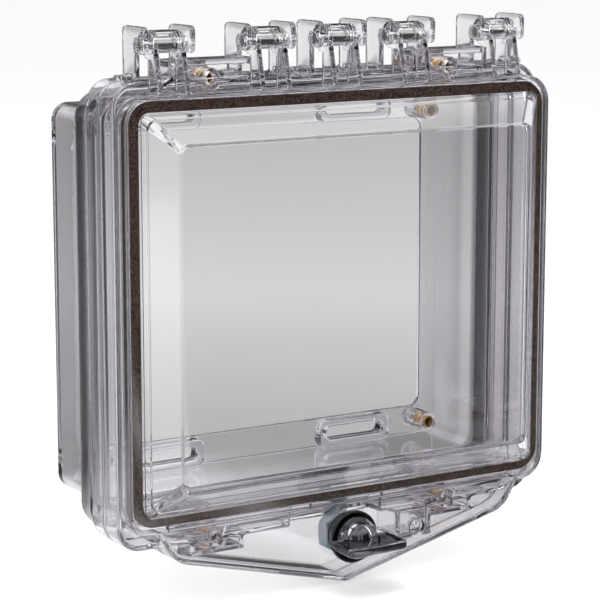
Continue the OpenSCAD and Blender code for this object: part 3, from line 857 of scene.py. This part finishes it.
@dataclass(frozen=True)
class InsertSet:
    """Four brass inserts with straight knurls, a groove and a tapped bore."""

    name: str
    node: str
    front: float
    first: Point
    span: Point
    radius: float = 3.58 * MM
    bore: float = 2.1 * MM
    length: float = 9.0 * MM
    chamfer: float = 0.3 * MM
    groove: float = 0.45 * MM
    groove_half: float = 0.75 * MM
    pitch: float = 0.8 * MM
    thread: float = 0.3 * MM
    knurl: float = 0.25 * MM
    teeth: int = 24

    def outline(self) -> list[Point]:
        """Draws the outline of one insert.

        Returns:
            Radius and Y of its points, outside first and then back up its threaded bore.
        """
        back, middle = self.front + self.length, self.front + self.length / 2
        inner, root = self.radius - self.chamfer, self.bore + self.thread
        low, half = self.radius - self.groove, self.groove_half
        outside = [
            (root, self.front), (inner, self.front), (self.radius, self.front + self.chamfer),
            (self.radius, middle - half - self.groove), (low, middle - half), (low, middle + half),
            (self.radius, middle + half + self.groove), (self.radius, back - self.chamfer), (inner, back),
            (root, back),
        ]
        thread = zigzag(self.bore, root, self.pitch, int(self.length / self.pitch))
        return outside + [(radius, back - along) for radius, along in thread[:-1]]

    def build(self) -> None:
        """Turns one insert, presses its knurls and sets out all four."""
        piece = Workpiece(self.name)
        centre = Vector((self.first[0], 0.0, self.first[1]))
        piece.lathe(self.outline(), centre, steps=2 * self.teeth)
        for vert in piece.mesh.verts:
            arm = Vector((vert.co.x, 0.0, vert.co.z)) - centre
            step = round(math.atan2(arm.z, arm.x) / FULL_TURN * 2 * self.teeth)
            if step % 2 and arm.length > self.radius - MERGE:
                vert.co -= arm.normalized() * self.knurl
        across, up = self.span
        piece.repeat([Vector((across, 0.0, 0.0)), Vector((0.0, 0.0, up)), Vector((across, 0.0, up))])
        half = (across / 2, up / 2)
        middle = (self.first[0] + half[0], self.first[1] + half[1])
        # The painted shade of the bores is centred on the four inserts
        brass = replace(BRASS, name=f"{self.node}_brass", middle=middle, half=half, bore=self.bore)
        piece.finish(brass, Body.HOUSING, self.node, smooth=FINE_CREASE)


@dataclass
class BackBox:
    """The tray on the wall, with its four device inserts."""

    shell: ClearMoulding = ClearMoulding(
        "back_box_moulding", "back_box", outline=Outline(*mm(255.0, 223.6, 14.0)),
        rims=(mm(-40.0, 4.5), mm(-54.0, 1.7)),
        # Painted shade: dark bands on the outer sides at the rims, and a painted grey farther in
        skin=PaintedMouldingShade(
            (
                (0.0, 0.87), (-12.0, 0.88), (-18.0, 0.82), (-26.0, 0.74), (-30.0, 0.96), (-37.5, 1.0),
                (-40.5, 0.30), (-48.0, 0.34), (-51.5, 0.68), (-54.0, 1.0),
            ),
            beyond=112.0 * MM, inner=0.90,
        ),
    )
    inserts: InsertSet = InsertSet(
        "device_insert_set", "device_inserts", -22.0 * MM, mm(-101.0, -88.4), mm(202.0, 176.8)
    )

    def build(self) -> None:
        """Builds the shell and its inserts."""
        self.shell.build()
        self.inserts.build()


@dataclass
class HingeFrame:
    """The spacer ring and the frame with its seal boss, inserts, screws and hinge pins."""

    outline: Outline = Outline(*mm(254.0, 234.5, 13.0, 1.0))
    spacer: ClearMoulding = ClearMoulding(
        "spacer_ring_moulding", "spacer_ring", outline=outline, rims=(mm(-54.0, 1.7), mm(-68.0, 1.7)),
        # Painted shade: dark bands on the outer sides at the seams
        skin=PaintedMouldingShade(
            ((-54.0, 0.90), (-58.0, 1.0), (-64.5, 1.0), (-66.5, 0.75), (-68.0, 0.75)), beyond=112.0 * MM
        ),
    )
    shell: ClearMoulding = ClearMoulding(
        "hinge_frame_moulding", "hinge_frame", outline=outline, rims=(mm(-68.0, 1.7), mm(-83.7, 1.7)),
        # Painted shade: dark bands on the outer sides at the seams
        skin=PaintedMouldingShade(
            ((-68.0, 0.75), (-70.5, 1.0), (-80.0, 1.0), (-82.0, 0.60), (-84.0, 0.50)), beyond=123.5 * MM
        ),
    )
    seal_boss: ClearMoulding = ClearMoulding("seal_boss_moulding", "seal_boss")
    pin_places: tuple[float, ...] = mm(-99.0, -42.0, 0.0, 42.0, 99.0)
    pin_axis: Point = mm(-84.0, 135.7)
    pin_radius: float = 2.4 * MM
    pin_length: float = 26.1 * MM
    pin_dimple: float = 0.35 * MM
    pin_sides: int = 40
    pin_edge: float = 0.2 * MM
    inserts: InsertSet = InsertSet(
        "frame_insert_set", "frame_inserts", -78.0 * MM, mm(-71.5, -115.3), mm(143.0, 233.3)
    )
    steel_copies: tuple[tuple[str, str, float], ...] = (
        ("frame_screw_set", "frame_screws", 0.3 * MM), ("frame_washer_set", "screw_washers", 0.15 * MM),
    )

    def pin(self, number: int, x: float) -> None:
        """Builds one hinge pin with rounded and dimpled ends.

        Args:
            number: the pin's number, from the left.
            x: the middle of the pin.
        """
        piece = Workpiece(f"hinge_pin_turned_{number}")
        place = Matrix.Translation((x, *self.pin_axis)) @ Matrix.Rotation(math.pi / 2, 4, "Y")
        bmesh.ops.create_cone(
            piece.mesh, cap_ends=True, segments=self.pin_sides, radius1=self.pin_radius,
            radius2=self.pin_radius, depth=self.pin_length, matrix=place,
        )
        ends = [face for face in piece.mesh.faces if len(face.verts) > 4]
        rim = self.pin_radius / 2
        bmesh.ops.inset_individual(piece.mesh, faces=ends, thickness=rim, depth=-self.pin_dimple)
        piece.soften(self.pin_edge)
        piece.finish(PIN_STEEL, Body.HOUSING, f"hinge_pin_{number}")

    def build(self) -> None:
        """Builds the ring, the frame and all that is fixed in them."""
        for piece in (self.spacer, self.shell, self.seal_boss, self.inserts):
            piece.build()
        build_steel_copies(self.steel_copies, Body.HOUSING)
        for number, x in enumerate(self.pin_places, start=1):
            self.pin(number, x)


@dataclass
class Door:
    """The clear door and the foam gasket behind its plate."""

    shell: ClearMoulding = ClearMoulding(
        # Painted shade: dark bands on the outer sides at the rims
        "door_moulding", "door_cover", Body.DOOR, skin=PaintedMouldingShade(
            (
                (-84.0, 0.35), (-85.2, 0.35), (-86.0, 0.92), (-89.0, 0.92), (-90.5, 0.25), (-94.8, 0.25),
                (-95.8, 1.0),
            ),
            beyond=124.6 * MM,
        ),
    )
    gasket_outline: Outline = Outline(*mm(247.0, 211.0, 12.0, 3.7))
    gasket_band: float = 5.5 * MM
    gasket_front: float = -93.0 * MM
    gasket_depth: float = 4.0 * MM
    gasket_round: float = 0.7 * MM
    gasket_steps: int = 12

    def gasket(self) -> None:
        """Builds the gasket as a strip with round corners and soft shoulders."""
        piece = Workpiece("gasket_strip")
        piece.rounded_panel(self.gasket_outline, self.gasket_front, self.gasket_steps)
        inner = list(piece.mesh.faces)
        bmesh.ops.inset_region(
            piece.mesh, faces=inner, thickness=self.gasket_band, use_even_offset=True, use_boundary=True
        )
        bmesh.ops.delete(piece.mesh, geom=inner, context="FACES")
        piece.thicken(Vector((0.0, self.gasket_depth, 0.0)))
        piece.soften(self.gasket_round, segments=3, least=SQUARE_EDGE)
        piece.finish(FOAM, Body.DOOR, "door_gasket")

    def build(self) -> None:
        """Builds the door and its gasket."""
        self.shell.build()
        self.gasket()


@dataclass
class CamLock:
    """The cam lock: collar, threaded body, washer and nut on the door, and the knob with its cam.

    The outlines of the collar and of the body's flange give radii and distances in front of the door plate,
    in millimetres.
    """

    centre: Vector = field(default_factory=lambda: Vector(mm(0.0, -96.0, -121.0)))
    collar_outline: tuple[Point, ...] = (
        (10.5, 0.0), (11.4, 0.0), (13.8, 5.1), (13.8, 7.3), (13.1, 7.3), (11.9, 6.1), (11.9, 2.0),
        (10.5, 2.0),
    )
    collar_edge: float = 0.3 * MM
    flange_outline: tuple[Point, ...] = ((10.2, 0.8), (10.4, 0.6), (10.4, 0.0))
    flange_front: float = 0.8 * MM
    thread_steps: int = 72
    round_steps: int = 96
    body_radius: float = 9.5 * MM
    spindle_radius: float = 4.05 * MM
    body_back: float = 12.5 * MM
    body_pitch: float = 1.0 * MM
    body_thread: float = 0.5 * MM
    nut_flats: float = 22.5 * MM
    nut_front: float = 3.8 * MM
    nut_back: float = 12.2 * MM
    nut_bore: float = 9.55 * MM
    nut_step: float = 0.1 * MM
    nut_edge: float = 0.2 * MM
    washer_front: float = 3.0 * MM
    washer_slack: float = 0.1 * MM
    washer_edge: float = 0.15 * MM
    dome_radius: float = 11.6 * MM
    dome_start: float = 2.3 * MM
    dome_shoulder: float = 7.3 * MM
    dome_reach: float = 19.0 * MM
    dome_steps: int = 16
    groove: float = 0.3 * MM
    ring_step: int = 7
    ring_width: float = 0.4 * MM
    wing_half: float = 18.0 * MM
    wing_root: float = 10.2 * MM
    wing_reach: float = 31.6 * MM
    wing_thickness: float = 4.8 * MM
    wing_drop: float = 0.9 * MM
    wing_bow: float = 1.4 * MM
    wing_corner: float = 2.0 * MM
    wing_round: float = 1.7 * MM
    wing_rim: float = 0.5 * MM
    wing_hollow: float = 0.8 * MM
    wing_edge: float = 0.15 * MM
    wing_columns: int = 12
    wing_steps: int = 5
    wing_level: float = 0.99
    knob_crease: float = 38.0
    steel_copies: tuple[tuple[str, str, float], ...] = (
        ("square_spindle", "lock_spindle", 0.2 * MM), ("stamped_cam", "lock_cam", 0.3 * MM),
        ("cam_washer_ring", "cam_washer", 0.15 * MM), ("slotted_cam_screw", "cam_screw", 0.25 * MM),
    )

    def front(self, points: Sequence[Point]) -> list[Point]:
        """Turns distances in front of the door plate into places along Y."""
        return [(radius, self.centre.y - ahead) for radius, ahead in points]

    def collar(self) -> None:
        """Builds the black collar, which flares towards the front."""
        piece = Workpiece("collar_turned")
        outline = [mm(*point) for point in self.collar_outline]
        piece.lathe(self.front(outline), self.centre, self.round_steps)
        piece.soften(self.collar_edge)
        piece.finish(BLACK, Body.DOOR, "lock_collar")

    def threaded_body(self) -> None:
        """Builds the lock's body with its flange and thread."""
        low = self.body_radius - self.body_thread
        turns = int((self.body_back - self.body_pitch) / self.body_pitch)
        thread = [(r, -along) for r, along in zigzag(low, self.body_radius, self.body_pitch, turns)]
        flange = [mm(*point) for point in self.flange_outline]
        outline = [
            (self.spindle_radius, self.flange_front), *flange, (low, 0.0), *thread, (low, -self.body_back),
            (self.spindle_radius, -self.body_back),
        ]
        piece = Workpiece("threaded_lock_body")
        piece.lathe(self.front(outline), self.centre, self.thread_steps)
        piece.finish(ZINC, Body.DOOR, "lock_body", smooth=FINE_CREASE)

    def washer(self) -> None:
        """Builds the washer under the nut."""
        piece = Workpiece("lock_washer_ring")
        bore, rim = self.body_radius + self.washer_slack, self.nut_flats / 2
        front, back = -self.washer_front, -self.nut_front
        outline = [(bore, front), (rim, front), (rim, back), (bore, back)]
        piece.lathe(self.front(outline), self.centre, self.thread_steps)
        piece.soften(self.washer_edge)
        piece.finish(ZINC, Body.DOOR, "lock_washer")

    def nut(self) -> None:
        """Builds the nut: a chamfered blank that six flats are cut on."""
        flat = self.nut_flats / 2
        corner = flat / math.cos(math.pi / 6)
        shoulder = flat - self.nut_step
        slope = (corner - shoulder) * math.tan(math.pi / 6)
        outline = [
            (self.nut_bore, -self.nut_front), (shoulder, -self.nut_front), (corner, -self.nut_front - slope),
            (corner, -self.nut_back + slope), (shoulder, -self.nut_back), (self.nut_bore, -self.nut_back),
        ]
        piece = Workpiece("hexagon_nut")
        piece.lathe(self.front(outline), self.centre, self.round_steps)
        for side in range(6):
            turn = Matrix.Rotation(side * FULL_TURN / 6, 3, "Y")
            normal = turn @ Vector(Axis.X.value)
            cut = bmesh.ops.bisect_plane(
                piece.mesh, geom=[*piece.mesh.verts, *piece.mesh.edges, *piece.mesh.faces], dist=MERGE,
                plane_co=self.centre + normal * flat, plane_no=normal, clear_outer=True,
            )
            rim = [item for item in cut["geom_cut"] if isinstance(item, BMEdge)]
            bmesh.ops.contextual_create(piece.mesh, geom=rim)
        bmesh.ops.recalc_face_normals(piece.mesh, faces=piece.mesh.faces)
        piece.soften(self.nut_edge, least=BLUNT_EDGE)
        piece.finish(ZINC, Body.DOOR, "lock_nut", smooth=FINE_CREASE)

    def dome(self) -> Workpiece:
        """Turns the knob's dome, with a fine groove round it.

        Returns:
            The dome.
        """
        rise, half = self.dome_reach - self.dome_shoulder, self.ring_width / 2
        crown = []
        for step in range(1, self.dome_steps):
            turn = step * math.pi / 2 / self.dome_steps
            radius, ahead = self.dome_radius * math.cos(turn), self.dome_shoulder + rise * math.sin(turn)
            if step == self.ring_step:
                crown += [(radius + half, ahead - half), (radius - half, ahead - half)]
                radius, ahead = radius - half, ahead + half
            crown.append((radius, ahead))
        outline = [
            (0.0, self.dome_shoulder), (self.spindle_radius, self.dome_shoulder),
            (self.spindle_radius, self.dome_start), (self.dome_radius - self.groove, self.dome_start),
            (self.dome_radius, self.dome_start + self.groove), (self.dome_radius, self.dome_shoulder),
            *crown, (0.0, self.dome_reach),
        ]
        piece = Workpiece("thumb_knob_plated")
        piece.lathe(self.front(outline), self.centre, self.round_steps, closed=False)
        return piece

    def wing(self) -> Workpiece:
        """Shapes the knob's wing: a bowed plate with round rims and hollow faces.

        Returns:
            The wing.
        """
        piece = Workpiece("wing")
        depth = self.wing_reach - self.wing_root
        lowest = self.wing_drop + self.wing_thickness / 2
        middle = self.centre - Vector((0.0, self.wing_root + depth / 2, lowest))
        place = Matrix.Translation(middle) @ Matrix.Diagonal((self.wing_half, depth / 2, 1.0, 1.0))
        bmesh.ops.create_grid(piece.mesh, x_segments=self.wing_columns, y_segments=1, size=1.0, matrix=place)
        tip = self.centre.y - self.wing_reach
        for vert in piece.mesh.verts:
            if vert.co.y < tip + MERGE:
                vert.co.y += self.wing_bow * (vert.co.x / self.wing_half) ** 2
        corners = [vert for vert in piece.mesh.verts if len(vert.link_edges) == 2]
        piece.round_corners(corners, self.wing_corner, self.wing_steps)
        piece.thicken(Vector((0.0, 0.0, self.wing_thickness)))
        piece.soften(self.wing_round, segments=self.wing_steps, least=SQUARE_EDGE)
        for side in (-1.0, 1.0):
            faces = [face for face in piece.mesh.faces if face.normal.z * side > self.wing_level]
            for width, rise in ((self.wing_rim, 0.0), (self.wing_hollow / 2, -self.wing_hollow)):
                bmesh.ops.inset_region(
                    piece.mesh, faces=faces, thickness=width, depth=rise, use_even_offset=True
                )
        piece.soften(self.wing_edge, least=BLUNT_EDGE)
        return piece

    def knob(self) -> None:
        """Builds the knob from its dome and its wing."""
        piece = self.dome()
        piece.weld(self.wing())
        piece.finish(CHROME, Body.THUMB_TURN, "thumb_knob", smooth=self.knob_crease)

    def build(self) -> None:
        """Builds the whole lock."""
        self.collar()
        self.threaded_body()
        self.washer()
        self.nut()
        self.knob()
        build_steel_copies(self.steel_copies, Body.THUMB_TURN)


@dataclass(frozen=True)
class SoftBox:
    """A lamp: its name, where it hangs, its width and height, and its power in watts."""

    name: str
    place: tuple[float, float, float]
    size: Point
    power: float

    def hang(self) -> None:
        """Hangs the lamp so that it faces the object."""
        light = bpy.data.lights.new(self.name, "AREA")
        light.shape, light.energy = "RECTANGLE", self.power
        light.size, light.size_y = self.size
        made = bpy.data.objects.new(self.name, light)
        made.location = self.place
        made.rotation_euler = (-Vector(self.place)).to_track_quat("-Z", "Y").to_euler()
        made.visible_camera = False
        bpy.context.scene.collection.objects.link(made)


@dataclass
class Studio:
    """The floor, the light and the camera."""

    floor_height: float = -147.5 * MM
    floor_reach: float = 8.0
    camera_place: Vector = field(default_factory=lambda: Vector((-0.6157, -1.05791, 0.20992)))
    camera_yaw: float = 0.54781
    camera_pitch: float = -0.1795
    camera_lens: float = 136.11
    camera_sensor: float = 36.0
    camera_nearest: float = 0.01
    cloth: tuple[tuple[float, Colour], ...] = ((0.0, (1.1, 1.1, 1.11, 1.0)), (0.5, (0.6, 0.6, 0.62, 1.0)))
    card_tops: Span = (0.25, 0.6)
    overhead: Colour = neutral(1.2)
    white: Colour = neutral(1.0)
    lamps: tuple[SoftBox, ...] = (
        SoftBox("left_softbox", (-1.3, -0.5, 0.7), (0.22, 1.5), 8.0),
        SoftBox("right_softbox", (1.2, -0.7, 0.6), (0.14, 1.2), 5.0),
        SoftBox("top_softbox", (-0.3, -0.3, 1.5), (0.9, 0.7), 8.0),
    )
    clear_bounces: int = 32
    glossy_bounces: int = 8

    def floor(self) -> None:
        """Lays the floor."""
        piece = Workpiece("studio_floor")
        bmesh.ops.create_grid(
            piece.mesh, x_segments=1, y_segments=1, size=self.floor_reach,
            matrix=Matrix.Translation((0.0, 0.0, self.floor_height)),
        )
        made = piece.to_object(piece.name)
        made.data.materials.append(FLOOR.material())

    def sky(self) -> None:
        """Sets a plain white surround.

        Rays through the clear mouldings see a cloth that is darker higher up. Mirrored ones see the cards,
        with a bright top over them.
        """
        world = bpy.data.worlds.new("studio_surround")
        world.use_nodes = True
        bpy.context.scene.world = world
        bench = Bench(world.node_tree)
        heading = bench.signal(bench.node("TexCoord"), "Generated")
        split = bench.node("SeparateXYZ", inputs={0: heading})
        side, height = bench.signal(split, "X"), bench.signal(split, "Z")
        cloth = bench.ramp(height, self.cloth)
        cards = bench.mix(bench.fade(height, *self.card_tops), bench.cards(side), self.overhead)
        light = bench.mix(bench.seen_straight(), bench.mix(bench.mirrored(), cloth, cards), self.white)
        background = bench.node("Background", inputs={"Color": light, "Strength": 1.0})
        bench.node("OutputWorld", inputs={"Surface": bench.signal(background)})

    def camera(self) -> None:
        """Sets up the camera at the photograph's angle."""
        lens = bpy.data.cameras.new("camera")
        lens.lens, lens.sensor_width = self.camera_lens, self.camera_sensor
        lens.clip_start = self.camera_nearest
        made = bpy.data.objects.new("camera", lens)
        level = math.cos(self.camera_pitch)
        yaw = self.camera_yaw
        heading = Vector((math.sin(yaw) * level, math.cos(yaw) * level, math.sin(self.camera_pitch)))
        made.location = self.camera_place
        made.rotation_euler = heading.to_track_quat("-Z", "Y").to_euler()
        bpy.context.scene.collection.objects.link(made)
        bpy.context.scene.camera = made

    def build(self) -> None:
        """Sets up the whole studio."""
        self.floor()
        self.sky()
        for lamp in self.lamps:
            lamp.hang()
        self.camera()
        scene = bpy.context.scene
        scene.view_settings.view_transform = "Standard"
        scene.cycles.max_bounces = scene.cycles.transmission_bounces = self.clear_bounces
        scene.cycles.glossy_bounces = self.glossy_bounces


def main() -> None:
    """Builds the object and its studio."""
    logging.basicConfig(level=logging.INFO, format="%(message)s")
    for part in (BackBox(), HingeFrame(), Door(), CamLock(), Studio()):
        log.info("building %s", type(part).__name__)
        part.build()


if __name__ == "__main__":
    main()
